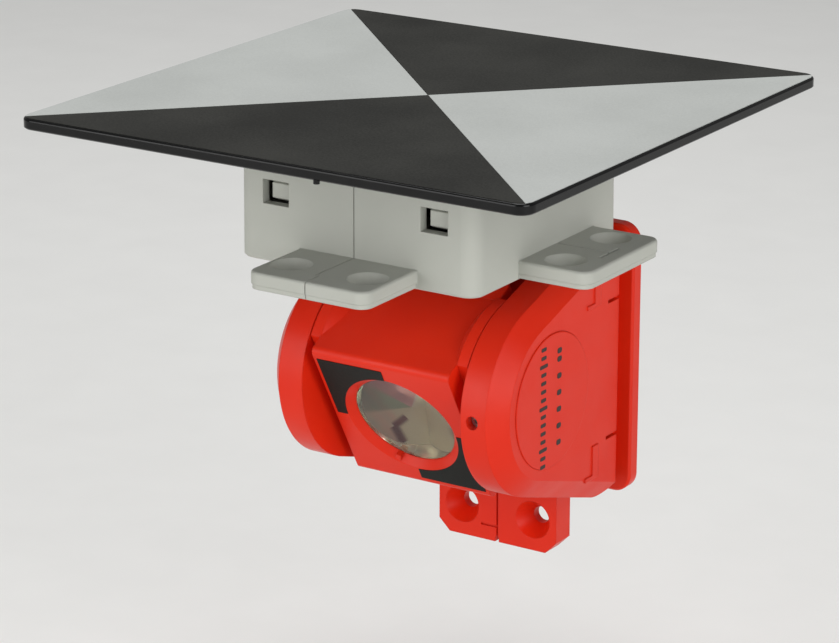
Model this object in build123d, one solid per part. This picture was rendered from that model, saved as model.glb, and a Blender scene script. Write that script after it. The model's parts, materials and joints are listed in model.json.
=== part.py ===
from build123d import *
import os
from math import atan, cos, degrees, radians, sin, sqrt, tan

# A wall-held survey prism. A one-inch glass corner cube tilts between two cheeks on a
# wall flange, and a grey bracket above it carries a square quartered target plate.
# Millimetres. The origin is the middle of the wall flange's back face: the wall is the
# plane Y = 0, the instrument looks along -Y, +X is to its right and +Z is up.

# ---- driving dimensions ------------------------------------------------------------
axis_out = 36.8            # tilt axis, in front of the wall
tilt_at_rest = 29.3        # degrees that the glass looks down
running_gap = 0.3          # between moving or separately moulded faces
fit_gap = 0.05             # radial clearance of a shaft or plug in its seat
press_gap = 0.02           # radial clearance of a piece that is pressed in

# wall flange
flange_width = 66.8
flange_height = 66.0
flange_thickness = 3.4
flange_corner = 4.5
plinth_height = 3.1
plinth_inset = 4.4

# fixing lugs, on the flange and on the bracket
lug_aside = -1.3           # middle of the lugs and of the bracket, from the middle plane
lug_width = 33.2
lug_chamfer = 3.0
lug_round = 3.0            # corners of the bracket's lugs, seen from above
lug_edge = 0.7             # rounding of the bracket's lugs
lug_hole_pitch = 20.0
lug_hole_radius = 2.1
lug_sink_wall = 0.9        # left under the screw head's seat
flange_lug_reach = 18.6
flange_lug_hole_in = 7.8   # holes, from the lug's outer edge
flange_sink_radius = 4.75
flange_sink_depth = 4.2
front_lug_reach = 20.4
side_lug_reach = 17.7
bracket_lug_hole_in = 9.5
bracket_sink_radius = 4.7
front_lug_aside = -0.3     # middle of the front lug, from the middle plane
front_lug_width = 31.4
seam_width = 0.5
seam_depth = 0.6
jog_in = 3.6               # the seam's step, from the lug's outer edge
jog_length = 4.6
front_jog_in = 5.6         # the same on the front lug, whose seam shifts to its middle
side_jog_length = 4.2      # how far the side lug's slot runs past the seam
side_slot_width = 0.8
side_slot_depth = 1.6
side_lug_back = 3.2        # middle of the side lug, behind the tilt axis
lug_lip = 1.1              # parting step round the bracket's lugs, above their underside
lug_lip_width = 0.25

# side cheeks
cheek_inner = 21.4         # inner faces, from the middle plane
cheek_rim = 27.9           # outer edge of the round rim
cheek_side = 31.5          # flat outer face
cheek_nose_radius = 23.0
cheek_face_radius = 18.5   # nose radius of the flat outer face
cheek_flare = 18.0         # degrees of the upper and lower flanks
cheek_wall = 2.2
cheek_back_corner = 4.0
slit_length = 5.0
slit_width = 0.8
slit_height = 16.7
hub_radius = 16.0
hub_proud = 0.25           # hub cap's face, beyond the cheek's
hub_wall = 2.0
hub_depth = 5.2
hub_edge = 0.2
cheek_screw_radius = 1.25
cheek_screw_length = 8.0
cheek_screw_head_radius = 2.8
cheek_screw_head = 2.0
cheek_post_radius = 3.2
cheek_screw_across = 26.0  # of each screw, from the middle plane
cheek_screw_up = 21.0
mark_foot_heights = (-24.4, 17.6)
mark_bar_out = 17.0        # of the raised marks' bars, from the wall
mark_bar_width = 2.6
mark_bar_length = 7.6
mark_foot_length = 3.2
mark_foot_width = 1.0
mark_height = 0.3

# tilt bearing
trunnion_radius = 4.0
trunnion_root = 16.0
trunnion_end = 29.0
bush_wall = 2.0
bush_rim = 1.6             # flange of the bush, beyond its barrel
bush_flange = 1.0
boss_wall = 3.0
boss_length = 4.6
washer_thickness = 0.6
circlip_thickness = 0.9
circlip_width = 1.6
groove_depth = 0.7
clamp_radius = 1.5
clamp_socket = 1.5         # across flats of its hexagon socket
clamp_recess = 2.4
clamp_across = 24.4
clamp_rib = 7.0

# prism holder
holder_half = 18.35
holder_height = 40.0
holder_front = 16.05       # face, in front of the tilt axis
holder_edge = 1.6
end_disc_radius = 22.8
end_disc_trim = 11.4       # front of the end discs, ahead of the tilt axis
flank_length = 3.0         # cone between the block's top and each end disc
glass_radius = 13.2
glass_lip = 0.5            # how far the opening's edge overlaps the glass
mouth_flare = 1.9
glass_recess = 1.75
glass_rim = 2.6            # straight rim of the glass, ahead of its three facets
cradle_wall = 2.3
cradle_floor = 2.0         # behind the tip of the glass
cradle_cover = 5.3         # front of the cradle, behind the front of the glass
o_ring_section = 0.85
nib_width = 1.4            # gate nib on the mouth's lower edge
nib_turn = 22.0            # degrees, to the left of straight down
cover_depth = 8.0
cover_edge = 4.0
cover_screw_in = 3.85      # of the cover's screws, from the block's sides
cover_screw_down = 4.0
cover_screw_radius = 1.25
cover_head_radius = 2.3
cover_screw_length = 12.0
sight_margin_side = 0.9
sight_margin_end = 2.4
film_thickness = 0.15

# target bracket
bracket_width = 63.2
bracket_depth = 61.2
bracket_wall = 2.5
bracket_bottom = 31.65     # underside, above the tilt axis
bracket_front_corner = 3.9
bracket_back_corner = 1.6
bracket_draft = 0.5        # degrees, narrower upwards
seam_gap = 0.2
bracket_lug_thickness = 4.0
bracket_lug_up = 0.5       # underside of the lugs, above the bracket's
window_width = 7.0
window_height = 5.6
window_in = 10.7           # middle of the windows, from the bracket's sides
window_from_top = 16.6
lug_screw_radius = 2.0
lug_screw_head_radius = 3.6
lug_nut_across = 7.0
lug_nut_height = 3.2
joint_screw_radius = 1.5
joint_boss_radius = 3.6
joint_screw_up = 9.0
joint_screw_in = 13.4      # from the bracket's front and back
joint_head_radius = 2.8
joint_head = 2.2
joint_sink_radius = 3.0
joint_seat_in = 4.0        # seat of the heads, from the bracket's left side
joint_boss_length = 14.0   # of the tapped bosses, from the bracket's split
joint_screw_end = 9.0      # tips of the screws, past the split
joint_rib_width = 1.6

# target plate
plate_side = 130.0
plate_thickness = 2.5
plate_corner = 3.5
plate_edge = 0.6
plate_top = 67.25          # above the tilt axis
plate_forward = 3.0        # the plate's middle, ahead of the tilt axis
foil_thickness = 0.15
foil_margin = 0.5
foil_gap = 0.1
nub_across = 13.9          # gate nub under the plate's front edge, from the middle plane
nub_radius = 0.7
nub_height = 0.8
pad_thickness = 0.8
tray_thickness = 2.2
hook_width = 5.0
hook_aside = 0.7
hook_thickness = 1.8
hook_nose = 1.9

# ---- places worked out from them ---------------------------------------------------
flange_half = flange_height / 2
flange_full = flange_thickness + plinth_height
flange_front = -flange_full
cheek_back = flange_front - running_gap
bracket_back = flange_front - running_gap
bracket_front = bracket_back - bracket_depth
bracket_middle = (bracket_front + bracket_back) / 2
bracket_left = lug_aside - bracket_width / 2
bracket_right = lug_aside + bracket_width / 2
bracket_top = plate_top - plate_thickness - running_gap
seat_top = bracket_bottom - running_gap
lug_hole_out = flange_half + flange_lug_reach - flange_lug_hole_in
hub_face = cheek_side + hub_proud
hub_inner = hub_face - hub_depth
bush_radius = trunnion_radius + bush_wall
bearing_outer = cheek_inner + boss_length
washer_seat = bearing_outer + bush_flange + fit_gap
circlip_seat = washer_seat + washer_thickness + fit_gap
disc_outer = cheek_inner - running_gap
clamp_mouth = -(axis_out + cheek_nose_radius) + clamp_recess
glass_opening = glass_radius - glass_lip
mouth_radius = glass_opening + mouth_flare
face_to_glass = holder_front - glass_recess
glass_apex = glass_rim + glass_radius * sqrt(2)
holder_back = -face_to_glass + glass_apex + cradle_floor
cradle_radius = glass_radius + cradle_wall
cradle_front = face_to_glass - cradle_cover
holder_half_height = holder_height / 2
joint_screw_height = bracket_bottom + joint_screw_up
tray_top = bracket_top + running_gap - pad_thickness
tray_bottom = tray_top - tray_thickness
window_height_mid = bracket_top - window_from_top


def rod(radius, x_from, x_to, y=0.0, z=0.0):
    """A round bar along X."""
    return Pos(x_from, y, z) * Plane.YZ.location * extrude(Circle(radius), x_to - x_from)


def rod_y(radius, y_from, y_to, x=0.0, z=0.0):
    """A round bar along Y."""
    bar = Cylinder(radius, y_to - y_from)
    return Pos(x, (y_from + y_to) / 2, z) * Rot(90, 0, 0) * bar


def axle(radius, x_from, x_to):
    """A round bar along the tilt axis."""
    return rod(radius, x_from, x_to, -axis_out)


def block(x_from, x_to, y_from, y_to, z_from, z_to):
    """A box given by its two corners."""
    box = Box(x_to - x_from, y_to - y_from, z_to - z_from)
    return Pos((x_from + x_to) / 2, (y_from + y_to) / 2, (z_from + z_to) / 2) * box


def hexagon(across):
    """A hexagon given by its width across the flats."""
    return RegularPolygon(across / sqrt(3), 6)


def left_of(piece):
    """The mirror image on the other side of the middle plane."""
    return mirror(piece, about=Plane.YZ)


def save(name, piece):
    """Writes one node to its own file."""
    export_step(piece, f"parts/{name}.step")


def group(solids):
    """Several solids that share one node."""
    return Compound(children=list(solids))


# ---- fixing lugs -------------------------------------------------------------------
def lug_holes():
    """Where a lug's two screw holes are, along its width."""
    return (-lug_hole_pitch / 2, lug_hole_pitch / 2)


def screw_hole(thickness, sink_radius, sink_depth):
    """A countersunk screw hole to cut from a plate that lies on Z = 0."""
    sink = Cone(lug_hole_radius, sink_radius, sink_depth)
    return Cylinder(lug_hole_radius, 4 * thickness) + Pos(0, 0, thickness - sink_depth / 2) * sink


def flange_lug():
    """A lug of the flange, lying flat: its root on Y = 0, reaching along -Y, its back at Z = 0."""
    outline = Rectangle(lug_width, flange_lug_reach, align=(Align.CENTER, Align.MAX))
    corners = outline.vertices().filter_by(lambda v: v.Y < -flange_lug_reach / 2)
    plate = extrude(chamfer(corners, lug_chamfer), flange_full)
    for x in lug_holes():
        hole = screw_hole(flange_full, flange_sink_radius, flange_sink_depth)
        plate -= Pos(x, flange_lug_hole_in - flange_lug_reach, 0) * hole
    return plate


def bracket_lug(width, reach):
    """A lug of the bracket, lying flat in the same way, with rounded edges and a parting step."""
    outline = Rectangle(width, reach, align=(Align.CENTER, Align.MAX))
    corners = outline.vertices().filter_by(lambda v: v.Y < -reach / 2)
    outline = fillet(corners, lug_round)
    plate = extrude(outline, bracket_lug_thickness)
    rim = plate.edges().group_by(Axis.Z)[-1].filter_by(lambda e: e.center().Y < -0.1)
    plate = fillet(rim, lug_edge)
    waist = extrude(outline, lug_lip) - extrude(offset(outline, -lug_lip_width), lug_lip)
    plate -= waist & block(-width, width, -2 * reach, -lug_lip_width, -1, lug_lip + 1)
    depth = bracket_lug_thickness - lug_sink_wall
    for x in lug_holes():
        hole = screw_hole(bracket_lug_thickness, bracket_sink_radius, depth)
        plate -= Pos(x, bracket_lug_hole_in - reach, 0) * hole
    return plate


def flange_lug_seam():
    """The seam that runs out along the flange's lug, with a step that crosses it."""
    low = flange_full - seam_depth
    high = flange_full + 1
    jog = jog_in - flange_lug_reach
    groove = block(-seam_width / 2, seam_width / 2, -flange_lug_reach, 0, low, high)
    step = block(-jog_length, seam_width / 2, jog, jog + seam_width, low, high)
    notch = block(-seam_width, seam_width, -flange_lug_reach - 1, -flange_lug_reach + 1.2, -1, high)
    return groove + step + notch


def side_lug_seam():
    """The short seam on the side lug, which ends in an open slot."""
    high = bracket_lug_thickness + 1
    jog = jog_in - side_lug_reach
    low = bracket_lug_thickness - seam_depth
    groove = block(-seam_width / 2, seam_width / 2, jog, 0, low, high)
    slot_low = bracket_lug_thickness - side_slot_depth
    slot = block(-jog_length, side_jog_length, jog, jog + side_slot_width, slot_low, high)
    return groove + slot


# ---- wall flange -------------------------------------------------------------------
def wall_flange():
    """Square plate against the wall, a plinth for the cheeks, and a lug above and below."""
    plate = extrude(RectangleRounded(flange_width, flange_height, flange_corner), flange_thickness)
    plate = chamfer(plate.edges().group_by(Axis.Z)[-1], 0.5)
    plinth_outline = RectangleRounded(
        flange_width - 2 * plinth_inset, flange_height - 2 * plinth_inset, flange_corner - 1
    )
    plinth = extrude(plinth_outline, flange_full)
    lower = Pos(lug_aside, -flange_half, 0) * flange_lug()
    upper = mirror(lower, about=Plane.XZ)
    web = extrude(Rectangle(lug_width, flange_height + 1), flange_full)
    flat = plate + plinth + lower + upper + Pos(lug_aside, 0, 0) * web
    flat -= Pos(lug_aside, -flange_half, 0) * flange_lug_seam()
    for x in lug_holes():
        place = Pos(lug_aside + x, lug_hole_out, 0)
        flat -= place * extrude(hexagon(lug_nut_across + 2 * fit_gap), lug_nut_height + 0.2)
    for x, z in cheek_screw_places():
        for side in (-1, 1):
            place = Pos(side * x, z, 0)
            flat -= place * Cylinder(cheek_screw_radius + 0.25, 4 * flange_full)
            flat -= place * extrude(Circle(cheek_screw_head_radius + 0.4), cheek_screw_head + 0.4)
    return Rot(90, 0, 0) * flat


def cheek_screw_places():
    """Where each cheek is screwed from behind, as (X, Z)."""
    return ((cheek_screw_across, cheek_screw_up), (cheek_screw_across, -cheek_screw_up))


# ---- side cheeks -------------------------------------------------------------------
def cheek_outline(radius, back):
    """The D of a cheek seen from the side, as a face in the YZ plane at X = 0."""
    lean = radians(cheek_flare)
    touch_y = -axis_out - radius * sin(lean)
    touch_z = radius * cos(lean)
    spread = (back - touch_y) * tan(lean)
    far = touch_z + spread
    nose = ThreePointArc((touch_y, touch_z), (-axis_out - radius, 0), (touch_y, -touch_z))
    rest = Polyline((touch_y, -touch_z), (back, -far), (back, far), (touch_y, touch_z))
    return Plane.YZ.location * make_face([nose, rest])


def cheek_form(inset):
    """A cheek's solid form: a straight rim, then a slope up to the flat outer face."""
    rise = cheek_nose_radius - cheek_face_radius
    run = cheek_side - cheek_rim
    rim_end = cheek_rim - inset * (sqrt(rise ** 2 + run ** 2) - run) / rise
    length = cheek_side - inset - rim_end
    outline = cheek_outline(cheek_nose_radius - inset, cheek_back + 2 * rise)
    form = extrude(Pos(cheek_inner + inset, 0, 0) * outline, rim_end - cheek_inner - inset, dir=(1, 0, 0))
    form += extrude(
        Pos(rim_end, 0, 0) * outline, length, dir=(1, 0, 0), taper=degrees(atan(rise / run))
    )
    top = seat_top - inset
    return form & block(0, cheek_side + 1, -100, cheek_back, -100, top)


def cheek_side_place(y, z):
    """A place on the right cheek's flat face, its x along +Y and its y along +Z."""
    return Plane(origin=(cheek_side, y, z), x_dir=(0, 1, 0), z_dir=(1, 0, 0)).location


def cheek_shell():
    """Hollow D-shaped cover that carries one tilt bearing, as it is on the right."""
    outside = cheek_form(0)
    low_edge = outside.faces().sort_by(Axis.Y)[-1].edges().sort_by(Axis.Z)[0]
    outside = fillet(low_edge, cheek_back_corner)
    hollow = cheek_form(cheek_wall)
    open_back = block(
        cheek_inner + cheek_wall, cheek_side - cheek_wall, cheek_back - 1, cheek_back + 1,
        -flange_half + plinth_inset, seat_top - cheek_wall,
    )
    shell = outside - hollow - open_back
    shell += axle(bush_radius + boss_wall, cheek_inner, bearing_outer)
    shell += block(
        cheek_inner, bearing_outer, -axis_out - cheek_nose_radius + cheek_wall / 2, -axis_out,
        -clamp_rib / 2, clamp_rib / 2,
    )
    for x, z in cheek_screw_places():
        post_front = cheek_back - cheek_screw_length - 1
        shell += rod_y(cheek_post_radius, post_front, cheek_back, x, z)
        shell += block(cheek_inner + 1, x, post_front, cheek_back, z - 1, z + 1)
    shell -= axle(bush_radius + press_gap, cheek_inner - 1, bearing_outer + 1)
    shell -= axle(hub_radius, hub_inner - fit_gap, cheek_side + 5)
    for x, z in cheek_screw_places():
        shell -= rod_y(
            cheek_screw_radius + fit_gap, cheek_back - cheek_screw_length, cheek_back + 1, x, z
        )
    for z in (-slit_height, slit_height):
        slit = Box(slit_length * 2, slit_width, 3 * cheek_wall)
        shell -= cheek_side_place(cheek_back, z) * slit
    for foot_z in mark_foot_heights:
        bar = Box(mark_bar_width, mark_bar_length, 2 * mark_height)
        foot = Box(mark_foot_length + mark_bar_width, mark_foot_width, 2 * mark_height)
        shell += cheek_side_place(-mark_bar_out, foot_z + mark_bar_length / 2) * bar
        shell += cheek_side_place(-mark_bar_out - mark_foot_length / 2, foot_z) * foot
    return shell


def cheek_right():
    """The right cheek, with a hole in its nose for the clamp screw."""
    return cheek_shell() - rod_y(
        clamp_radius + fit_gap, -axis_out - cheek_nose_radius - 1, -axis_out, clamp_across
    )


def cheek_left():
    """The left cheek, which has no clamp."""
    return left_of(cheek_shell())


def hub_cap_right():
    """Round flat cap that closes the bearing from outside."""
    cap = axle(hub_radius - fit_gap, hub_inner, hub_face)
    cap = fillet(cap.edges().group_by(Axis.X)[-1], hub_edge)
    cap -= axle(hub_radius - hub_wall, hub_inner - 1, hub_face - hub_wall)
    return cap


def bush_right():
    """Flanged plain bush pressed into the cheek."""
    bush = axle(bush_radius, cheek_inner, bearing_outer)
    bush += axle(bush_radius + bush_rim, bearing_outer, bearing_outer + bush_flange)
    bush -= axle(trunnion_radius + fit_gap, cheek_inner - 1, washer_seat + 1)
    return bush


def friction_washer_right():
    """Washer whose grip holds the tilt."""
    washer = axle(bush_radius + bush_rim / 2, washer_seat, washer_seat + washer_thickness)
    return washer - axle(trunnion_radius + fit_gap, washer_seat - 1, circlip_seat)


def trunnion_right():
    """Steel pin pressed into the holder, with a groove for its circlip."""
    pin = axle(trunnion_radius, trunnion_root, trunnion_end)
    pin = chamfer(pin.edges().group_by(Axis.X)[-1], 0.5)
    ring = axle(trunnion_radius + 1, circlip_seat, circlip_seat + circlip_thickness + 0.1)
    ring -= axle(trunnion_radius - groove_depth, circlip_seat - 1, trunnion_end)
    return pin - ring


def circlip_right():
    """Snap ring with an open gap at its foot."""
    start = circlip_seat + fit_gap
    inner = trunnion_radius - groove_depth + fit_gap
    outer = trunnion_radius + circlip_width
    mouth = trunnion_radius * 0.4
    clip = axle(outer, start, start + circlip_thickness - fit_gap)
    clip -= axle(inner, start - 1, start + 2)
    clip -= block(start - 1, start + 2, -axis_out - mouth, -axis_out + mouth, -outer - 1, 0)
    return clip


def cheek_screws_right():
    """Two screws that hold a cheek to the flange from behind."""
    screws = []
    head_back = -0.3
    head_front = head_back - cheek_screw_head
    for x, z in cheek_screw_places():
        shank = rod_y(cheek_screw_radius, cheek_back - cheek_screw_length + 0.5, head_front + 0.1, x, z)
        head = rod_y(cheek_screw_head_radius, head_front, head_back, x, z)
        slot = block(x - 2.0, x + 2.0, head_back - 0.9, 0.0, z - 0.35, z + 0.35)
        cross = block(x - 0.35, x + 0.35, head_back - 0.9, 0.0, z - 2.0, z + 2.0)
        screws.append(shank + head - slot - cross)
    return group(screws)


def tilt_clamp_screw():
    """Set screw that pinches the right-hand bush to lock the tilt."""
    tip = -axis_out - bush_radius - running_gap
    screw = rod_y(clamp_radius, clamp_mouth, tip, clamp_across)
    screw = chamfer(screw.edges().group_by(Axis.Y)[-1], 0.4)
    socket = extrude(hexagon(clamp_socket), 2.0)
    return screw - Pos(clamp_across, clamp_mouth + 2.0, 0) * Rot(90, 0, 0) * socket


# ---- prism holder, drawn level about the tilt axis and then tilted -----------------
def tilted(piece):
    """Puts a piece of the holder on the tilt axis, looking down by the rest angle."""
    return Pos(0, -axis_out, 0) * Rot(tilt_at_rest, 0, 0) * piece


def corner_cube(apex, radius, front_y):
    """A round glass body that ends in three square facets meeting at the apex."""
    size = 4 * radius
    cube = Box(size, size, size, align=(Align.MAX, Align.MAX, Align.MAX))
    # the cube's own diagonal is turned onto -Y, so that its corner points straight back
    aimed = Rot(-degrees(atan(1 / sqrt(2))), 0, 0) * Rot(0, 0, 45) * cube
    return (Pos(0, apex, 0) * aimed) & rod_y(radius, front_y, apex + 1)


def holder_body():
    """Tilting block with a round disc at each end and a stepped bore for the glass."""
    body = block(
        -holder_half, holder_half, -holder_front, holder_back, -holder_half_height, holder_half_height
    )
    body = fillet(body.edges().filter_by(Axis.X).group_by(Axis.Y)[0], holder_edge)
    end = rod(end_disc_radius, holder_half - 0.01, disc_outer)
    end += Pos(holder_half - flank_length / 2, 0, 0) * Rot(0, 90, 0) * Cone(
        end_disc_radius - flank_length, end_disc_radius, flank_length
    )
    end &= block(0, disc_outer, -end_disc_trim, holder_back, -end_disc_radius, end_disc_radius)
    body = body + end + left_of(end)
    body -= rod_y(glass_opening, -holder_front - 1, holder_back + 1)
    body -= Pos(0, -holder_front + glass_recess / 2, 0) * Rot(90, 0, 0) * Cone(
        glass_opening, mouth_radius, glass_recess
    )
    body -= rod_y(glass_radius + fit_gap, -face_to_glass, holder_back + 1)
    body -= rod_y(cradle_radius + fit_gap, -cradle_front, holder_back + 1)
    groove_mid = -face_to_glass + 1.5 + o_ring_section
    body -= rod_y(
        glass_radius + 2 * o_ring_section + 0.1, groove_mid - o_ring_section - 0.05,
        groove_mid + o_ring_section + 0.05,
    )
    seat = rod(trunnion_radius + press_gap, trunnion_root, disc_outer + 1)
    body -= seat
    body -= left_of(seat)
    for x, z in cover_screw_places():
        body -= rod_y(cover_screw_radius + fit_gap, holder_back - 9, holder_back + 1, x, z)
    nib = block(
        -nib_width / 2, nib_width / 2, -holder_front + 0.2, -face_to_glass,
        -mouth_radius + 0.3, -glass_opening + 0.1,
    )
    return body + Rot(0, nib_turn, 0) * nib


def cover_screw_places():
    """The four corners where the back cover is screwed on, as (X, Z)."""
    across = holder_half - cover_screw_in
    up = holder_half_height - cover_screw_down
    return [(x * across, z * up) for x in (-1, 1) for z in (-1, 1)]


def holder_back_cover():
    """Rounded cover that presses the cradle onto the glass."""
    start = holder_back + fit_gap
    cover = block(
        -holder_half, holder_half, start, start + cover_depth, -holder_half_height, holder_half_height
    )
    cover = fillet(cover.edges().group_by(Axis.Y)[-1], cover_edge)
    cover -= rod_y(cradle_radius - 2.5, start - 1, start + cover_depth - 2.4)
    for x, z in cover_screw_places():
        cover -= rod_y(cover_screw_radius + 0.15, start - 1, start + cover_depth + 1, x, z)
        cover -= rod_y(cover_head_radius + 0.2, start + 4.0, start + cover_depth + 1, x, z)
    return cover


def cover_screws():
    """Four screws of the back cover."""
    seat = holder_back + fit_gap + 4.0
    screws = []
    for x, z in cover_screw_places():
        screw = rod_y(cover_screw_radius, seat - cover_screw_length, seat, x, z)
        screw += rod_y(cover_head_radius, seat + 0.02, seat + 1.9, x, z)
        screw += rod_y(cover_screw_radius, seat - 0.5, seat + 1.0, x, z)
        screw -= Pos(x, seat + 1.9, z) * Rot(90, 0, 0) * extrude(hexagon(2.0), 1.1)
        screws.append(screw)
    return group(screws)


def glass_prism():
    """Solid glass corner cube with a round, flat front."""
    return corner_cube(-face_to_glass + glass_apex, glass_radius, -face_to_glass + fit_gap)


def o_ring():
    """Rubber ring round the rim of the glass."""
    middle = glass_radius + o_ring_section + 0.05
    ring = Torus(middle, o_ring_section)
    return Pos(0, -face_to_glass + 1.5 + o_ring_section, 0) * Rot(90, 0, 0) * ring


def prism_cradle():
    """Moulded seat that follows the three facets of the glass."""
    cup = rod_y(cradle_radius, -cradle_front + 0.1, holder_back)
    glass = corner_cube(-face_to_glass + glass_apex + 0.25, glass_radius + 0.1, -face_to_glass)
    return cup - glass


def sight_mark(side_x_sign, side_z_sign):
    """Black film on one quarter of the face, cut away round the glass."""
    width = holder_half - sight_margin_side
    height = holder_half_height - sight_margin_end
    y_face = -holder_front
    film = block(
        min(0, side_x_sign * width), max(0, side_x_sign * width), y_face - film_thickness, y_face,
        min(0, side_z_sign * height), max(0, side_z_sign * height),
    )
    return film - rod_y(mouth_radius + 0.1, y_face - 1, y_face + 1)


# ---- target bracket ----------------------------------------------------------------
def bracket_outline(inset):
    """The bracket's outline seen from above, moved in by a wall: rounder at the front."""
    width = bracket_width - 2 * inset
    depth = bracket_depth - 2 * inset
    outline = Rectangle(width, depth)
    front = outline.vertices().group_by(Axis.Y)[0]
    outline = fillet(front, max(bracket_front_corner - inset, 0.5))
    back = outline.vertices().group_by(Axis.Y)[-1]
    return fillet(back, max(bracket_back_corner - inset, 0.5))


def bracket_shell():
    """The whole open box, before it is split in two."""
    height = bracket_top - bracket_bottom
    box = extrude(bracket_outline(0), height, taper=bracket_draft)
    box = chamfer(box.edges().group_by(Axis.Z)[0], 0.5)
    room = extrude(bracket_outline(bracket_wall), height + 1, taper=bracket_draft)
    box -= Pos(0, 0, bracket_wall) * room
    return Pos(lug_aside, bracket_middle, bracket_bottom) * box


def front_lug_place():
    """The root of the front lug."""
    return Pos(front_lug_aside, bracket_front, bracket_bottom + bracket_lug_up)


def side_lug_place():
    """The root of the right-hand lug."""
    return Pos(bracket_right, side_lug_back - axis_out, bracket_bottom + bracket_lug_up) * Rot(0, 0, 90)


def lug_roots():
    """Bars that bridge the drafted walls and the lugs."""
    low = bracket_bottom + bracket_lug_up
    high = low + bracket_lug_thickness
    half = lug_width / 2
    front_from = front_lug_aside - front_lug_width / 2
    front_to = front_lug_aside + front_lug_width / 2
    front = block(front_from, front_to, bracket_front - 0.1, bracket_front + 1, low, high)
    middle = side_lug_back - axis_out
    side = block(bracket_right - 1, bracket_right + 0.1, middle - half, middle + half, low, high)
    return front + side


def split_space(gap):
    """The side that belongs to the right-hand half: in the front lug it steps to the lug's middle."""
    middle = lug_aside + gap
    step = front_lug_aside + gap
    jog_y = bracket_front - front_lug_reach + front_jog_in + gap
    far = 4 * bracket_depth
    outline = make_face(Polyline(
        (middle, far), (middle, jog_y), (step, jog_y), (step, -far), (far, -far), (far, far), close=True
    ))
    return extrude(outline, far)


def window_places():
    """The middles of the four windows, as (X, Y), front pair first."""
    across = bracket_width / 2 - window_in
    return [(lug_aside + side * across, y) for y in (bracket_front, bracket_back) for side in (-1, 1)]


def joint_screw_depths():
    """Y of the two screws that close the bracket."""
    return (bracket_front + joint_screw_in, bracket_back - joint_screw_in)


def bracket_parts():
    """The two halves of the bracket."""
    shell = bracket_shell() + lug_roots()
    shell += front_lug_place() * bracket_lug(front_lug_width, front_lug_reach)
    shell += side_lug_place() * bracket_lug(lug_width, side_lug_reach)
    shell -= side_lug_place() * side_lug_seam()
    for x, y in window_places():
        z = window_height_mid
        shell -= block(
            x - window_width / 2, x + window_width / 2, y - 2 * bracket_wall, y + 2 * bracket_wall,
            z - window_height / 2, z + window_height / 2,
        )
    for x in lug_holes():
        shell -= rod_y(
            lug_screw_radius + 0.15, bracket_back - 2 * bracket_wall, bracket_back + 2,
            lug_aside + x, lug_hole_out,
        )
    joint_z = joint_screw_height
    split = lug_aside
    for y in joint_screw_depths():
        shell += rod(joint_boss_radius, bracket_left + 1.6, split - 0.1, y, joint_z)
        shell += rod(joint_boss_radius, split + 0.1, split + joint_boss_length, y, joint_z)
        shell -= rod(joint_screw_radius + 0.15, bracket_left - 1, split + 0.1, y, joint_z)
        shell -= rod(joint_screw_radius + fit_gap, split - 0.1, split + joint_screw_end + 2, y, joint_z)
        shell -= rod(joint_sink_radius, bracket_left - 1, bracket_left + joint_seat_in, y, joint_z)
        shell += block(
            split + 0.2, split + joint_boss_length, y - joint_rib_width / 2, y + joint_rib_width / 2,
            bracket_bottom + bracket_wall / 2, joint_z - joint_boss_radius + 0.5,
        )
    right = shell & split_space(seam_gap / 2)
    left = shell - split_space(-seam_gap / 2)
    return left, right


def bracket_joint_screws():
    """Two long screws that close the bracket's halves."""
    screws = []
    seat = bracket_left + joint_seat_in
    for y in joint_screw_depths():
        screw = rod(joint_screw_radius, seat - 0.5, lug_aside + joint_screw_end, y, joint_screw_height)
        screw += rod(joint_head_radius, seat - joint_head, seat - 0.02, y, joint_screw_height)
        socket = Plane.YZ.location * extrude(hexagon(2.0), 1.2)
        screw -= Pos(seat - joint_head, y, joint_screw_height) * socket
        screws.append(screw)
    return group(screws)


def bracket_lug_screws():
    """Two machine screws through the bracket's back wall and the flange's upper lug."""
    head_top = lug_hole_out + lug_screw_head_radius
    lean_in = (head_top - bracket_bottom) * tan(radians(bracket_draft))
    head_seat = bracket_back - bracket_wall - lean_in - 0.02
    screws = []
    for side_x in lug_holes():
        x = lug_aside + side_x
        screw = rod_y(lug_screw_radius, head_seat - 1.0, -0.4, x, lug_hole_out)
        screw += rod_y(lug_screw_head_radius, head_seat - 2.4, head_seat, x, lug_hole_out)
        socket = Pos(x, head_seat - 1.1, lug_hole_out) * Rot(90, 0, 0) * extrude(hexagon(2.5), 2.0)
        screws.append(screw - socket)
    return group(screws)


def bracket_lug_nuts():
    """Two nuts let into the back of the upper lug."""
    nuts = []
    for x in lug_holes():
        place = Pos(lug_aside + x, -0.2, lug_hole_out) * Rot(90, 0, 0)
        nut = extrude(hexagon(lug_nut_across), lug_nut_height - 0.2)
        nut -= Cylinder(lug_screw_radius + fit_gap, 20)
        nuts.append(place * nut)
    return group(nuts)


# ---- target plate and what it clips on ---------------------------------------------
def plate_carrier():
    """Tray inside the bracket's top, with four sprung hooks for the four windows."""
    room = 2 * bracket_wall + 4 * running_gap + 1.2
    tray = extrude(RectangleRounded(bracket_width - room, bracket_depth - room, 1.5), tray_thickness)
    carrier = Pos(lug_aside, bracket_middle, tray_bottom) * tray
    reach = window_height_mid - window_height / 2 + 0.4
    catch = window_height_mid + window_height / 2 - running_gap
    inside = bracket_front + bracket_wall + 0.9
    for x, y in window_places()[:2]:
        low_x = x + hook_aside - hook_width / 2
        arm = block(low_x, low_x + hook_width, inside, inside + hook_thickness, reach, tray_top)
        nose = make_face(Polyline(
            (inside + 0.1, catch), (inside - hook_nose, catch - 0.6),
            (inside - hook_nose, reach + 0.9), (inside + 0.1, reach), close=True,
        ))
        hook = arm + Pos(low_x, 0, 0) * Plane.YZ.location * extrude(nose, hook_width)
        carrier += hook
        carrier += mirror(hook, about=Plane.XZ.offset(-bracket_middle))
    return carrier


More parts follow.
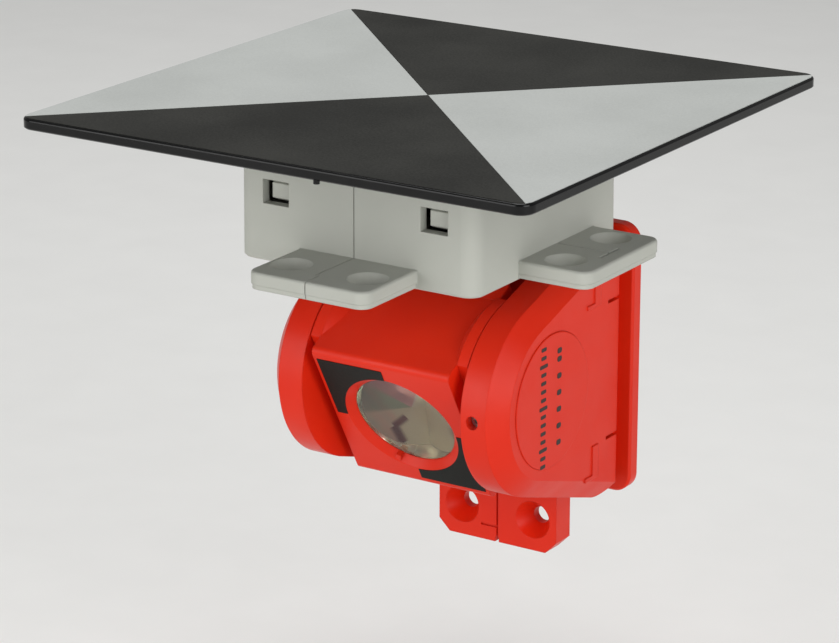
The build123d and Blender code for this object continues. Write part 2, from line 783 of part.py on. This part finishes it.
def plate_pad():
    """Adhesive foam pad between the tray and the plate."""
    side_room = bracket_width - 2 * bracket_wall - 8
    depth_room = bracket_depth - 2 * bracket_wall - 8
    return Pos(lug_aside, bracket_middle, tray_top) * extrude(
        RectangleRounded(side_room, depth_room, 2), pad_thickness
    )


def target_plate():
    """Square board with rounded corners and edges."""
    board = extrude(RectangleRounded(plate_side, plate_side, plate_corner), plate_thickness)
    board = fillet(board.edges().group_by(Axis.Z)[-1], plate_edge)
    board = chamfer(board.edges().group_by(Axis.Z)[0], 0.3)
    board += Pos(nub_across, nub_radius - plate_side / 2, -nub_height / 2 + 0.1) * Cylinder(
        nub_radius, nub_height + 0.2
    )
    return Pos(0, -axis_out - plate_forward, plate_top - plate_thickness) * board


def target_foil(turn):
    """One of four triangular foils that meet at the plate's middle."""
    half = plate_side / 2 - foil_margin
    square = RectangleRounded(2 * half, 2 * half, plate_corner - foil_margin)
    wedge = make_face(Polyline(
        (0, foil_gap), (half + 5, half + 5 + foil_gap), (-half - 5, half + 5 + foil_gap), close=True
    ))
    foil = extrude(square & wedge, foil_thickness)
    return Pos(0, -axis_out - plate_forward, plate_top) * Rot(0, 0, turn) * foil


# ---- write every node --------------------------------------------------------------
os.makedirs("parts", exist_ok=True)
save("wall_flange", wall_flange())
save("cheek_right", cheek_right())
save("cheek_left", cheek_left())
for maker in (
    hub_cap_right, bush_right, friction_washer_right,
    trunnion_right, circlip_right, cheek_screws_right,
):
    right_name = maker.__name__
    piece = maker()
    save(right_name, piece)
    save(right_name.replace("right", "left"), left_of(piece))
save("tilt_clamp_screw", tilt_clamp_screw())
save("holder_body", tilted(holder_body()))
save("holder_back_cover", tilted(holder_back_cover()))
save("holder_cover_screws", tilted(cover_screws()))
save("glass_prism", tilted(glass_prism()))
save("glass_o_ring", tilted(o_ring()))
save("prism_cradle", tilted(prism_cradle()))
save("sight_mark_upper", tilted(sight_mark(-1, 1)))
save("sight_mark_lower", tilted(sight_mark(1, -1)))
left_half, right_half = bracket_parts()
save("bracket_half_left", left_half)
save("bracket_half_right", right_half)
save("bracket_joint_screws", bracket_joint_screws())
save("bracket_lug_screws", bracket_lug_screws())
save("bracket_lug_nuts", bracket_lug_nuts())
save("plate_carrier", plate_carrier())
save("plate_pad", plate_pad())
save("target_plate", target_plate())
save("foil_black_back", target_foil(0))
save("foil_white_left", target_foil(90))
save("foil_black_front", target_foil(180))
save("foil_white_right", target_foil(270))
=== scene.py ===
# %% [markdown]
# # A survey prism under a target plate
# A red moulded housing carries a tilting glass corner cube, and a light grey bracket on it
# carries a square target plate. The solid parts come from the CAD frame, so this lesson is about
# finishes, the coating on the glass, the printed scale, and the light.

# %% Frame
import json
import math

import bpy
from mathutils import Matrix, Vector


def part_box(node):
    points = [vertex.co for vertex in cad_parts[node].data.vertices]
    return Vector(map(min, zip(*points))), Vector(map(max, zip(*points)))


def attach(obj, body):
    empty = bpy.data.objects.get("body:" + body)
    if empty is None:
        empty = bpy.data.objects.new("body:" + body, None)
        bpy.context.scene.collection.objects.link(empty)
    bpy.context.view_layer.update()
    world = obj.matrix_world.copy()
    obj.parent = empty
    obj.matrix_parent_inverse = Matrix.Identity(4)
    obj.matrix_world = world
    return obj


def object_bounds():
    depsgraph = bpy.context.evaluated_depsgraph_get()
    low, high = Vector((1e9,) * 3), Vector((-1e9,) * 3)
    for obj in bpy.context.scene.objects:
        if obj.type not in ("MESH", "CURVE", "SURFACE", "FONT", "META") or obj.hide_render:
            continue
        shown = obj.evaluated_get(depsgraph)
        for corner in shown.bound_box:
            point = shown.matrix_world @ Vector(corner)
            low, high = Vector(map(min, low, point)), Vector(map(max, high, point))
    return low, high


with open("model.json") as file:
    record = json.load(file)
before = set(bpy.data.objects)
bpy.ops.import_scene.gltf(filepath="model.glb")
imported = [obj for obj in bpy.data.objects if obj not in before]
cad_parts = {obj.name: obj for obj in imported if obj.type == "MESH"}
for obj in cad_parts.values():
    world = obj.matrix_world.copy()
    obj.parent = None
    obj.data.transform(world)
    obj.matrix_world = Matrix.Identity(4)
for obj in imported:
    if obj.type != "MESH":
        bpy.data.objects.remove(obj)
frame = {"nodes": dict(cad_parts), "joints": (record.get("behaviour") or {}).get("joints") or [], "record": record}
cad_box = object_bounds()
nodes = frame["nodes"]
mm = 0.001
print("CAD nodes:", len(nodes))

# %% [markdown]
# ## Where things are
# The frame gives the tilt joint and each node's box. The coating and the printed scale are placed
# from these, so that they follow the parts they lie on.

# %% Places taken from the frame
tilt_joint = next(j for j in frame["joints"] if j["name"] == "prism_tilt")
tilt_axis = Vector(tilt_joint["pos_m"])
glass_low, glass_high = (Vector(corner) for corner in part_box("glass_prism"))
hub_high = Vector(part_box("hub_cap_right")[1])
plate_low, plate_high = (Vector(corner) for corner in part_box("target_plate"))
plate_middle = (plate_low + plate_high) / 2
print("tilt axis", [round(value / mm, 1) for value in tilt_axis])

# %% [markdown]
# ## Small helpers
# One function deselects everything before an operator runs, one puts a finished mesh at the origin,
# and one adds a shader node with its settings and its links.

# %% Helpers for objects


def start_clean():
    """Leaves edit mode and deselects everything, so an operator acts on the new piece alone."""
    if bpy.context.object and bpy.context.object.mode != "OBJECT":
        bpy.ops.object.mode_set(mode="OBJECT")
    bpy.ops.object.select_all(action="DESELECT")


def settle(piece, name):
    """Names a piece and bakes its place into its mesh, so that its object sits at the origin."""
    start_clean()
    piece.select_set(True)
    bpy.context.view_layer.objects.active = piece
    bpy.ops.object.transform_apply(location=True, rotation=True, scale=True)
    piece.name = name
    piece.data.name = name
    return piece


def join(pieces):
    """Joins several meshes into the first one."""
    start_clean()
    for piece in pieces:
        piece.select_set(True)
    bpy.context.view_layer.objects.active = pieces[0]
    bpy.ops.object.join()
    return pieces[0]


# %% Helpers for materials


def linear(hex_colour):
    """Turns an sRGB hex colour into the linear values that a shader takes."""
    channels = [int(hex_colour[i:i + 2], 16) / 255 for i in (1, 3, 5)]
    flat = [c / 12.92 if c <= 0.04045 else ((c + 0.055) / 1.055) ** 2.4 for c in channels]
    return (*flat, 1.0)


def add_node(material, kind, settings=None, **inputs):
    """Adds a shader node with its settings; each input is a value or another node's output."""
    tree = material.node_tree
    node = tree.nodes.new(kind)
    for key, value in (settings or {}).items():
        setattr(node, key, value)
    for key, value in inputs.items():
        socket = node.inputs[int(key[1:])] if key[0] == "_" else node.inputs[key.replace("_", " ")]
        if isinstance(value, bpy.types.NodeSocket):
            tree.links.new(value, socket)
        else:
            socket.default_value = value
    return node


def new_material(name):
    """An empty node material, its principled shader and the object coordinates."""
    material = bpy.data.materials.new(name)
    material.use_nodes = True
    shader = material.node_tree.nodes["Principled BSDF"]
    coordinates = add_node(material, "ShaderNodeTexCoord").outputs["Object"]
    return material, shader, coordinates


def link(material, output, socket):
    """Links one output to one input."""
    material.node_tree.links.new(output, socket)


def per_metre(millimetres):
    """The texture scale that gives features of this size."""
    return 1000.0 / millimetres


noise_low, noise_high = 0.3, 0.7  # noise seldom leaves this range, so it is stretched from here


# %% [markdown]
# ## Moulded plastic
# The housing is ABS, moulded in a spark-eroded tool. The tool leaves a very fine grain, drawn
# here at 0.35 mm so that it shows, and the satin gloss drifts a little over the part. A Bevel
# node rounds the sharp edges in the shading, as a real tool's edges are never sharp. Pieces of
# natural acetal are moulded in the same way, so the same function makes their finish.

# %% A function for moulded ABS


def moulded_abs(name, dark, light, roughness, grain_mm=0.35, grain_depth=0.012, edge_mm=0.35):
    """Moulded ABS: colour drifts slightly over the part, and a fine grain breaks up the gloss."""
    material, shader, place = new_material(name)
    drift_mm, rub_mm = 18, 7
    drift = add_node(
        material, "ShaderNodeTexNoise", Vector=place, Scale=per_metre(drift_mm), Detail=3.0
    )
    tint = add_node(
        material, "ShaderNodeMix", {"data_type": "RGBA"}, _0=drift.outputs["Fac"],
        _6=linear(dark), _7=linear(light),
    )
    link(material, tint.outputs[2], shader.inputs["Base Color"])
    rub = add_node(
        material, "ShaderNodeTexNoise", Vector=place, Scale=per_metre(rub_mm), Detail=5.0
    )
    gloss = add_node(
        material, "ShaderNodeMapRange", Value=rub.outputs["Fac"], _1=noise_low, _2=noise_high,
        _3=roughness - 0.05, _4=roughness + 0.07,
    )
    link(material, gloss.outputs["Result"], shader.inputs["Roughness"])
    grain = add_node(
        material, "ShaderNodeTexNoise", Vector=place, Scale=per_metre(grain_mm), Detail=2.0
    )
    edge = add_node(material, "ShaderNodeBevel", {"samples": 4}, Radius=edge_mm * mm)
    bump = add_node(
        material, "ShaderNodeBump", Height=grain.outputs["Fac"], Strength=0.5,
        Distance=grain_depth * mm, Normal=edge.outputs["Normal"],
    )
    link(material, bump.outputs["Normal"], shader.inputs["Normal"])
    shader.inputs["IOR"].default_value = 1.53
    shader.inputs["Specular IOR Level"].default_value = 0.2
    return material


# %% Red, grey and natural plastic
red_abs = moulded_abs("red_moulded_abs", "#DC250E", "#E63014", roughness=0.36)
grey_abs = moulded_abs("grey_moulded_abs", "#B4B6AD", "#BFC0B8", roughness=0.5, grain_depth=0.02)
acetal = moulded_abs("natural_acetal", "#DCD8CB", "#E6E3D8", roughness=0.4)
print("plastics:", red_abs.name, grey_abs.name, acetal.name)

# %% [markdown]
# ## Target plate and foils
# The board is a black-cored composite with polished edges. The four foils are printed: the black
# ones have a fine sand-like texture, and the pale ones are a grey-white reflective foil.

# %% Board and foils


def printed_foil(name, dark, light, roughness, speck_mm, speck_depth, specular=0.25):
    """A printed foil with a fine, even speckle in colour and height."""
    material, shader, place = new_material(name)
    cloud_mm = 30
    speck = add_node(
        material, "ShaderNodeTexNoise", Vector=place, Scale=per_metre(speck_mm), Detail=4.0
    )
    cloud = add_node(
        material, "ShaderNodeTexNoise", Vector=place, Scale=per_metre(cloud_mm), Detail=2.0
    )
    both = add_node(
        material, "ShaderNodeMath", {"operation": "ADD"}, _0=speck.outputs["Fac"],
        _1=cloud.outputs["Fac"],
    )
    spread = add_node(material, "ShaderNodeMapRange", Value=both.outputs[0], _1=0.75, _2=1.25)
    tint = add_node(
        material, "ShaderNodeMix", {"data_type": "RGBA"}, _0=spread.outputs["Result"],
        _6=linear(dark), _7=linear(light),
    )
    link(material, tint.outputs[2], shader.inputs["Base Color"])
    bump = add_node(
        material, "ShaderNodeBump", Height=speck.outputs["Fac"], Strength=0.6,
        Distance=speck_depth * mm,
    )
    link(material, bump.outputs["Normal"], shader.inputs["Normal"])
    shader.inputs["Roughness"].default_value = roughness
    shader.inputs["Specular IOR Level"].default_value = specular
    return material


black_foil = printed_foil(
    "black_sanded_foil", "#2A2A28", "#3A3A37", 0.75, 0.5, 0.03, specular=0.12
)
white_foil = printed_foil("pale_reflective_foil", "#B4B7B4", "#BFC2BF", 0.5, 0.4, 0.008)
mark_film = printed_foil("black_sight_film", "#121411", "#1C1E1A", 0.6, 0.6, 0.006)

# %% Glossy edge of the board


def polished_board():
    """Black composite board with a polished, clear-coated edge."""
    material, shader, place = new_material("black_composite_board")
    wave_mm = 9
    wave = add_node(
        material, "ShaderNodeTexNoise", Vector=place, Scale=per_metre(wave_mm), Detail=3.0
    )
    gloss = add_node(
        material, "ShaderNodeMapRange", Value=wave.outputs["Fac"], _1=noise_low, _2=noise_high,
        _3=0.1, _4=0.24,
    )
    link(material, gloss.outputs["Result"], shader.inputs["Roughness"])
    tint = add_node(
        material, "ShaderNodeMix", {"data_type": "RGBA"}, _0=wave.outputs["Fac"],
        _6=linear("#070708"), _7=linear("#0E0E0E"),
    )
    link(material, tint.outputs[2], shader.inputs["Base Color"])
    shader.inputs["Specular IOR Level"].default_value = 0.2
    shader.inputs["Coat Weight"].default_value = 0.12
    shader.inputs["Coat Roughness"].default_value = 0.08
    return material


board = polished_board()
print("plate materials:", board.name, black_foil.name, white_foil.name)

# %% [markdown]
# ## Metal, rubber and foam
# Screws and pins are turned stainless steel. Turning leaves fine rings, too fine to show here, so
# an uneven scratch pattern stands in for them. Rubber and foam are nearly black and dull, with
# small cells.

# %% Steel, rubber and foam


def turned_steel():
    """Stainless steel with fine, uneven scratches in its gloss and height."""
    material, shader, place = new_material("turned_stainless_steel")
    scratch_mm = 0.6
    scratch = add_node(
        material, "ShaderNodeTexNoise", Vector=place, Scale=per_metre(scratch_mm), Detail=6.0,
        Roughness=0.7,
    )
    gloss = add_node(
        material, "ShaderNodeMapRange", Value=scratch.outputs["Fac"], _1=noise_low,
        _2=noise_high, _3=0.22, _4=0.42,
    )
    link(material, gloss.outputs["Result"], shader.inputs["Roughness"])
    bump = add_node(
        material, "ShaderNodeBump", Height=scratch.outputs["Fac"], Strength=0.4, Distance=0.01 * mm
    )
    link(material, bump.outputs["Normal"], shader.inputs["Normal"])
    shader.inputs["Base Color"].default_value = linear("#B9BABA")
    shader.inputs["Metallic"].default_value = 1.0
    return material


def dull_elastomer(name, colour, cell_mm):
    """Rubber or foam: dark, dull, with small cells."""
    material, shader, place = new_material(name)
    cells = add_node(material, "ShaderNodeTexVoronoi", Vector=place, Scale=per_metre(cell_mm))
    bump = add_node(
        material, "ShaderNodeBump", Height=cells.outputs["Distance"], Strength=0.5,
        Distance=0.05 * mm,
    )
    link(material, bump.outputs["Normal"], shader.inputs["Normal"])
    shader.inputs["Base Color"].default_value = linear(colour)
    shader.inputs["Roughness"].default_value = 0.8
    return material


steel = turned_steel()
rubber = dull_elastomer("black_nitrile_rubber", "#1C1C1C", 0.3)
foam = dull_elastomer("black_foam_tape", "#202020", 0.5)

# %% [markdown]
# ## Optical glass
# The corner cube is polished crown glass of index 1.52. Its three back facets carry a metal
# coating, which is a piece of its own below, because the coating and not the glass gives the
# prism its look.

# %% Glass


def crown_glass():
    """Polished crown glass with the faint green of its thickness."""
    material, shader, place = new_material("polished_crown_glass")
    haze_mm = 6
    haze = add_node(
        material, "ShaderNodeTexNoise", Vector=place, Scale=per_metre(haze_mm), Detail=3.0
    )
    gloss = add_node(
        material, "ShaderNodeMapRange", Value=haze.outputs["Fac"], _1=noise_low, _2=noise_high,
        _3=0.0, _4=0.03,
    )
    link(material, gloss.outputs["Result"], shader.inputs["Roughness"])
    shader.inputs["Base Color"].default_value = linear("#F4F8F2")
    shader.inputs["Transmission Weight"].default_value = 1.0
    shader.inputs["IOR"].default_value = 1.52
    return material


glass = crown_glass()

# %% Give the CAD nodes their finishes
finish_of_slot = {
    "red_plastic": red_abs,
    "grey_plastic": grey_abs,
    "natural_plastic": acetal,
    "board_black": board,
    "foil_white": white_foil,
    "foil_black": black_foil,
    "mark_black": mark_film,
    "glass": glass,
    "rubber_black": rubber,
    "foam_black": foam,
    "steel": steel,
}
slot_of_node = {part["node"]: part["material_slot"] for part in frame["record"]["subparts"]}
for name, piece in nodes.items():
    finish = finish_of_slot[slot_of_node[name]]
    for material_slot in piece.material_slots:
        material_slot.material = finish
    if not piece.material_slots:
        piece.data.materials.append(finish)
print("finished nodes:", len(slot_of_node))

# %% [markdown]
# ## Coating on the glass facets
# A cone with three sides whose base radius is 1.414 times its height is exactly a cube's corner.
# It is added in line with the glass axis, trimmed to the round glass, and its open front is
# removed. It sits a twentieth of a millimetre inside the glass, as the real coating touches it
# with no air between: with an air gap the polished facet would reflect everything and hide the
# coating.

# %% Places of the glass in the tilted holder
tilt_down = math.radians(29.3)
glass_axis = Vector((0, -math.cos(tilt_down), -math.sin(tilt_down)))
glass_radius = (glass_high.x - glass_low.x) / 2
face_ahead = 16.05 * mm
glass_recess = 1.75 * mm
glass_rim = 2.6 * mm
glass_front = tilt_axis + glass_axis * (face_ahead - glass_recess)
apex = glass_front - glass_axis * (glass_rim + glass_radius * math.sqrt(2))
print("glass radius", round(glass_radius / mm, 2), "mm")

# %% Corner-cube coating


def cube_corner(radius):
    """A cube's corner with its tip at the origin, pointing up, trimmed to a round bar."""
    overlength = 1.6
    depth = radius * math.sqrt(2) * overlength
    start_clean()
    bpy.ops.mesh.primitive_cone_add(
        vertices=3, radius1=depth * math.sqrt(2), depth=depth, location=(0, 0, -depth / 2)
    )
    corner = settle(bpy.context.object, "corner")
    start_clean()
    bpy.ops.mesh.primitive_cylinder_add(vertices=96, radius=radius, depth=3 * depth)
    drum = bpy.context.object
    trim = corner.modifiers.new("trim", "BOOLEAN")
    trim.operation = "INTERSECT"
    trim.object = drum
    trim.solver = "EXACT"
    start_clean()
    corner.select_set(True)
    bpy.context.view_layer.objects.active = corner
    bpy.ops.object.modifier_apply(modifier="trim")
    bpy.data.objects.remove(drum)
    return corner


coating_gap = 0.05 * mm
coating = cube_corner(glass_radius - coating_gap)
bpy.context.tool_settings.mesh_select_mode = (False, False, True)
for polygon in coating.data.polygons:
    polygon.select = abs(polygon.normal.z) < 0.1 or polygon.normal.z < -0.9
bpy.ops.object.mode_set(mode="EDIT")
bpy.ops.mesh.delete(type="FACE")
bpy.ops.object.mode_set(mode="OBJECT")
coating.rotation_euler = (tilt_down - math.pi / 2, 0, 0)
coating.location = apex + glass_axis * coating_gap
settle(coating, "prism_coating")
print("coated facets:", len(coating.data.polygons))


# %% [markdown]
# ## What the coated facets show
# A real corner cube shows a wheel of sectors and dark shapes that it mirrors from its
# surroundings, and they move with the eye. The surroundings aren't modelled, so here they are
# painted: straw, rose and grey-green sectors and a dark chevron lie on the facets and stay where
# they are from every side. Their centre is 3 mm to the left of the glass axis and 3.2 mm below
# it, because the glass bends light and this puts them near the middle of the glass in this
# scene's slanting view. The coating is mostly metal, so the facets still mirror each other over
# the paint.

# %% Coating material


chevron_half_width = 0.9 * mm
chevron_bars = [
    ((-4.1 * mm, -4.0 * mm), (-1.4 * mm, -2.2 * mm)),
    ((-4.1 * mm, -4.0 * mm), (-2.6 * mm, -8.6 * mm)),
]
sector_left = 3.0 * mm
sector_down = 3.2 * mm
sector_blend = 0.012  # half of a soft edge between two tints, as a share of the full turn
base_tint = "#FBF1D6"
chevron_tint = "#7C2830"
glass_up = Vector((0, -math.sin(tilt_down), math.cos(tilt_down)))
sector_centre = glass_front - Vector((sector_left, 0, 0)) - glass_up * sector_down
sector_tints = [
    (-118, "#FFF6DC"), (-66, "#FBF1D6"), (-4, "#FFF8E2"), (52, "#F4EAE6"), (66, "#F4B8C2"),
    (138, "#BCCAB4"), (176, "#FBF1D6"),
]


def chevron(material, across, up):
    """A mask that is 1 on a dark V near the middle, a painted dark reflection: two bars that meet at a point."""
    mask = None
    for (x, z), (end_x, end_z) in chevron_bars:
        along = Vector((end_x - x, end_z - z))
        length = along.length
        along.normalize()
        dx = add_node(
            material, "ShaderNodeMath", {"operation": "SUBTRACT"}, _0=across, _1=x
        ).outputs[0]
        dz = add_node(
            material, "ShaderNodeMath", {"operation": "SUBTRACT"}, _0=up, _1=z
        ).outputs[0]
        side_x = add_node(material, "ShaderNodeMath", {"operation": "MULTIPLY"}, _0=dx, _1=-along.y)
        side = add_node(
            material, "ShaderNodeMath", {"operation": "MULTIPLY_ADD"}, _0=dz, _1=along.x,
            _2=side_x.outputs[0],
        )
        run_x = add_node(material, "ShaderNodeMath", {"operation": "MULTIPLY"}, _0=dx, _1=along.x)
        run = add_node(
            material, "ShaderNodeMath", {"operation": "MULTIPLY_ADD"}, _0=dz, _1=along.y,
            _2=run_x.outputs[0],
        )
        inside = add_node(
            material, "ShaderNodeMath", {"operation": "COMPARE"}, _0=run.outputs[0], _1=length / 2,
            _2=length / 2,
        )
        away = add_node(material, "ShaderNodeMath", {"operation": "ABSOLUTE"}, _0=side.outputs[0])
        soft = add_node(
            material, "ShaderNodeMapRange", Value=away.outputs[0], _1=chevron_half_width * 0.5,
            _2=chevron_half_width * 1.5, _3=1.0, _4=0.0,
        )
        bar = add_node(
            material, "ShaderNodeMath", {"operation": "MULTIPLY"}, _0=inside.outputs[0],
            _1=soft.outputs["Result"],
        ).outputs[0]
        if mask:
            bar = add_node(
                material, "ShaderNodeMath", {"operation": "MAXIMUM"}, _0=mask, _1=bar
            ).outputs[0]
        mask = bar
    return mask


def vacuum_coating():
    """A mostly metallic coating, with soft-edged sectors of tint and a dark chevron painted on as painted
    reflections.
    """
    material, shader, place = new_material("vacuum_silver_coating")
    flat = add_node(
        material, "ShaderNodeMapping", {"vector_type": "TEXTURE"}, Vector=place,
        Location=sector_centre, Rotation=(tilt_down, 0, 0),
    )
    axes = add_node(material, "ShaderNodeSeparateXYZ", Vector=flat.outputs["Vector"])
    across, up = axes.outputs["X"], axes.outputs["Z"]
    angle = add_node(material, "ShaderNodeMath", {"operation": "ARCTAN2"}, _0=up, _1=across)
    turn = add_node(
        material, "ShaderNodeMapRange", Value=angle.outputs[0], _1=-math.pi, _2=math.pi
    )
    sectors = add_node(material, "ShaderNodeValToRGB", Fac=turn.outputs["Result"])
    ramp = sectors.color_ramp
    previous = base_tint
    stops = [(0.0, previous)]
    for start_degrees, tint in sector_tints:
        start = (start_degrees + 180) / 360
        stops += [(start - sector_blend, previous), (start + sector_blend, tint)]
        previous = tint
    ramp.elements[1].position = 1.0
    ramp.elements[0].color = linear(stops[0][1])
    ramp.elements[1].color = linear(previous)
    for position, tint in stops[1:]:
        ramp.elements.new(position).color = linear(tint)
    mark = add_node(
        material, "ShaderNodeMix", {"data_type": "RGBA"}, _0=chevron(material, across, up),
        _6=sectors.outputs["Color"], _7=linear(chevron_tint),
    )
    cloud_mm = 5
    cloud = add_node(
        material, "ShaderNodeTexNoise", Vector=place, Scale=per_metre(cloud_mm), Detail=3.0
    )
    haze = add_node(
        material, "ShaderNodeMapRange", Value=cloud.outputs["Fac"], _1=noise_low, _2=noise_high,
        _3=0.07, _4=0.18,
    )
    link(material, mark.outputs[2], shader.inputs["Base Color"])
    link(material, haze.outputs["Result"], shader.inputs["Roughness"])
    shader.inputs["Metallic"].default_value = 0.7
    return material


coating.data.materials.append(vacuum_coating())
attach(coating, "prism_holder")

# %% [markdown]
# ## Printed scale on the hub caps
# The hub caps carry a black pad-printed scale: one column of long and short strokes and one of
# dots, so that it reads as printing but says nothing. A long stroke, a short one and a dot are
# modelled as thin plates with rounded corners, and the rest are copies of these.

# %% Pad-printed strokes


def printed_stroke(width, height, corner, thickness):
    """One rounded stroke of ink, lying in the YZ plane."""
    start_clean()
    bpy.ops.mesh.primitive_cube_add(size=1.0)
    stroke = bpy.context.object
    stroke.scale = (thickness, width, height)
    bpy.ops.object.transform_apply(location=False, rotation=False, scale=True)
    round_off = stroke.modifiers.new("round", "BEVEL")
    round_off.width = corner
    round_off.segments = 3
    round_off.limit_method = "WEIGHT"
    weights = stroke.data.attributes.new("bevel_weight_edge", "FLOAT", "EDGE")
    for edge in stroke.data.edges:
        ends = [stroke.data.vertices[i].co for i in edge.vertices]
        along = (ends[0] - ends[1]).normalized()
        weights.data[edge.index].value = 1.0 if abs(along.x) > 0.9 else 0.0
    bpy.ops.object.modifier_apply(modifier="round")
    return stroke


def copy_at(piece, place):
    """A copy with its own mesh, moved to a place."""
    twin = piece.copy()
    twin.data = piece.data.copy()
    twin.location = place
    bpy.context.collection.objects.link(twin)
    return twin


# %% The scale on each hub cap
ink_thickness = 0.06 * mm
row_pitch = 2.0 * mm
long_stroke = printed_stroke(3.4 * mm, 0.9 * mm, 0.3 * mm, ink_thickness)
short_stroke = printed_stroke(2.2 * mm, 0.9 * mm, 0.3 * mm, ink_thickness)
dot = printed_stroke(1.9 * mm, 1.3 * mm, 0.5 * mm, ink_thickness)
hub_face = hub_high.x + ink_thickness / 2
scale_rows = 15
long_every, first_long = 5, 2
dot_rows = (1, 2, 4, 6, 8, 10, 12)
first_column = tilt_axis.y - 4.3 * mm
second_column = tilt_axis.y + 2.6 * mm
scale_top = tilt_axis.z + 13.3 * mm
strokes = []
for row in range(scale_rows):
    height = scale_top - row * row_pitch
    stroke = long_stroke if row % long_every == first_long else short_stroke
    strokes.append(copy_at(stroke, (hub_face, first_column, height)))
    if row in dot_rows:
        strokes.append(copy_at(dot, (hub_face, second_column, height)))
for master in (long_stroke, short_stroke, dot):
    bpy.data.objects.remove(master)
right_scale = settle(join(strokes), "tilt_scale_right")
left_scale = copy_at(right_scale, (0, 0, 0))
left_scale.scale = (-1, 1, 1)
settle(left_scale, "tilt_scale_left")
start_clean()
left_scale.select_set(True)
bpy.context.view_layer.objects.active = left_scale
bpy.ops.object.mode_set(mode="EDIT")
bpy.ops.mesh.select_all(action="SELECT")
bpy.ops.mesh.normals_make_consistent(inside=False)
bpy.ops.object.mode_set(mode="OBJECT")

# %% Ink


def pad_printing_ink():
    """Black solvent ink, slightly uneven where the pad lifted."""
    material, shader, place = new_material("black_pad_printing_ink")
    patch_mm = 1.2
    patch = add_node(
        material, "ShaderNodeTexNoise", Vector=place, Scale=per_metre(patch_mm), Detail=3.0
    )
    tint = add_node(
        material, "ShaderNodeMix", {"data_type": "RGBA"}, _0=patch.outputs["Fac"],
        _6=linear("#1A1412"), _7=linear("#33201B"),
    )
    link(material, tint.outputs[2], shader.inputs["Base Color"])
    shader.inputs["Roughness"].default_value = 0.5
    return material


ink = pad_printing_ink()
for piece in (right_scale, left_scale):
    piece.data.materials.append(ink)
    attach(piece, "mount")
print("printed strokes:", len(strokes))

# %% [markdown]
# ## Floor, light and camera
# The floor is a plain pale sheet under the object. The background is white where the camera sees
# it, directly or through glass, and dimmer as a source of light. Three large soft lamps stand at
# the right, at the left front and above, so that the space under the plate falls into shade.

# %% Floor
floor_drop = 0.05
floor_side = 12.0
fibre_mm = 25
floor_z = cad_box[0][2] - floor_drop
start_clean()
bpy.ops.mesh.primitive_plane_add(size=floor_side, location=(0, 0, floor_z))
floor = settle(bpy.context.object, "studio_floor")
floor_paper, floor_shader, floor_place = new_material("white_studio_paper")
fibre = add_node(
    floor_paper, "ShaderNodeTexNoise", Vector=floor_place, Scale=per_metre(fibre_mm), Detail=3.0
)
floor_tint = add_node(
    floor_paper, "ShaderNodeMix", {"data_type": "RGBA"}, _0=fibre.outputs["Fac"],
    _6=linear("#E9E9E7"), _7=linear("#EFEFED"),
)
link(floor_paper, floor_tint.outputs[2], floor_shader.inputs["Base Color"])
floor_shader.inputs["Roughness"].default_value = 0.9
floor.data.materials.append(floor_paper)

# %% World: white where the camera sees it, directly or through glass
world = bpy.data.worlds.new("studio_world")
bpy.context.scene.world = world
world.use_nodes = True
tree = world.node_tree
background = tree.nodes["Background"]
paths = tree.nodes.new("ShaderNodeLightPath")
seen = tree.nodes.new("ShaderNodeMath")
seen.operation = "MAXIMUM"
tree.links.new(paths.outputs["Is Camera Ray"], seen.inputs[0])
tree.links.new(paths.outputs["Is Transmission Ray"], seen.inputs[1])
level = tree.nodes.new("ShaderNodeMapRange")
strength_as_light = 0.27
strength_as_seen = 1.0
level.inputs["To Min"].default_value = strength_as_light
level.inputs["To Max"].default_value = strength_as_seen
tree.links.new(seen.outputs[0], level.inputs["Value"])
tree.links.new(level.outputs["Result"], background.inputs["Strength"])
background.inputs["Color"].default_value = linear("#FBFBFA")

# %% Lamps


def soft_lamp(name, place, size, watts):
    """A large square lamp that points at the tilt axis."""
    start_clean()
    bpy.ops.object.light_add(type="AREA", location=place)
    lamp = bpy.context.object
    lamp.name = name
    lamp.data.size = size
    lamp.data.energy = watts
    aim = tilt_axis - Vector(place)
    lamp.rotation_euler = aim.to_track_quat("-Z", "Y").to_euler()


soft_lamp("key_right", (1.1, -0.5, 0.35), 0.8, 7.8)
soft_lamp("fill_front", (-0.5, -1.3, 0.25), 0.9, 8.0)
soft_lamp("top", (-0.2, 0.1, 1.3), 0.8, 10.5)

# %% Camera
view_azimuth = math.radians(32.82)
view_elevation = math.radians(17.98)
distance_in_plates = 5.682
view_distance = distance_in_plates * (plate_high.x - plate_low.x)
image_right = Vector((math.cos(view_azimuth), math.sin(view_azimuth), 0))
image_back = Vector((
    math.sin(view_azimuth) * math.cos(view_elevation),
    -math.cos(view_azimuth) * math.cos(view_elevation),
    math.sin(view_elevation),
))
image_up = image_back.cross(image_right)
aim_left = 1.9 * mm
aim_down = 50.6 * mm
plate_top_middle = Vector((plate_middle.x, plate_middle.y, plate_high.z))
look_at = plate_top_middle - aim_left * image_right - aim_down * image_up
bpy.ops.object.camera_add(location=look_at + view_distance * image_back)
camera = bpy.context.object
camera.name = "camera"
camera.data.sensor_width = 36.0
camera.data.lens = 141.5
turn = Matrix((image_right, image_up, image_back)).transposed()
camera.rotation_euler = turn.to_euler()
camera.data.clip_start = 0.01
bpy.context.scene.camera = camera
bpy.context.scene.view_settings.view_transform = "Standard"
print("camera", [round(value, 3) for value in camera.location])
